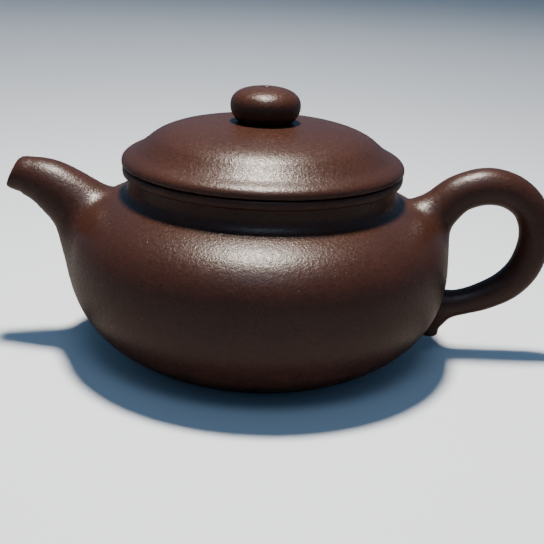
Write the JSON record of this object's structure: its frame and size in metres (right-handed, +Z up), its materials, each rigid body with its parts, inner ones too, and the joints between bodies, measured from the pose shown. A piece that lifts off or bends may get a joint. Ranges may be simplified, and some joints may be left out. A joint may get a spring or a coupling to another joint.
{
  "type": "teapot",
  "caption": "Small unglazed clay teapot: a flat drum-shaped pot with a short curved spout, an ear-shaped handle and a domed lift-off lid with a bead knob.",
  "frame": {"origin": "middle of the whole object's length and width, on the table surface that it stands on", "axes": "+X towards the handle and -X towards the spout, +Y across the pot, +Z up along the turning axis, which stands 5.6 mm to the spout's side of the origin"},
  "size_m": [0.156, 0.108, 0.0769],
  "materials": {
    "body_clay": "unglazed dark brown stoneware, satin, with fine grain",
    "lid_clay": "unglazed dark brown stoneware, satin, with fine grain, a little more polished"
  },
  "bodies": {
    "pot": {"body_wall": "body_clay", "base_disc": "body_clay", "shoulder_disc": "body_clay", "neck_collar": "body_clay", "mouth_lip": "body_clay", "spout": "body_clay", "spout_strainer": "body_clay", "handle": "body_clay"},
    "lid": {"lid_dome": "lid_clay", "lid_seat_ring": "lid_clay", "lid_flange": "lid_clay", "lid_knob": "lid_clay"}
  },
  "joints": [
    {"name": "lid_lift", "type": "slide", "parent": "pot", "child": "lid", "axis": [0, 0, 1], "range_m": [0, 0.03]}
  ]
}
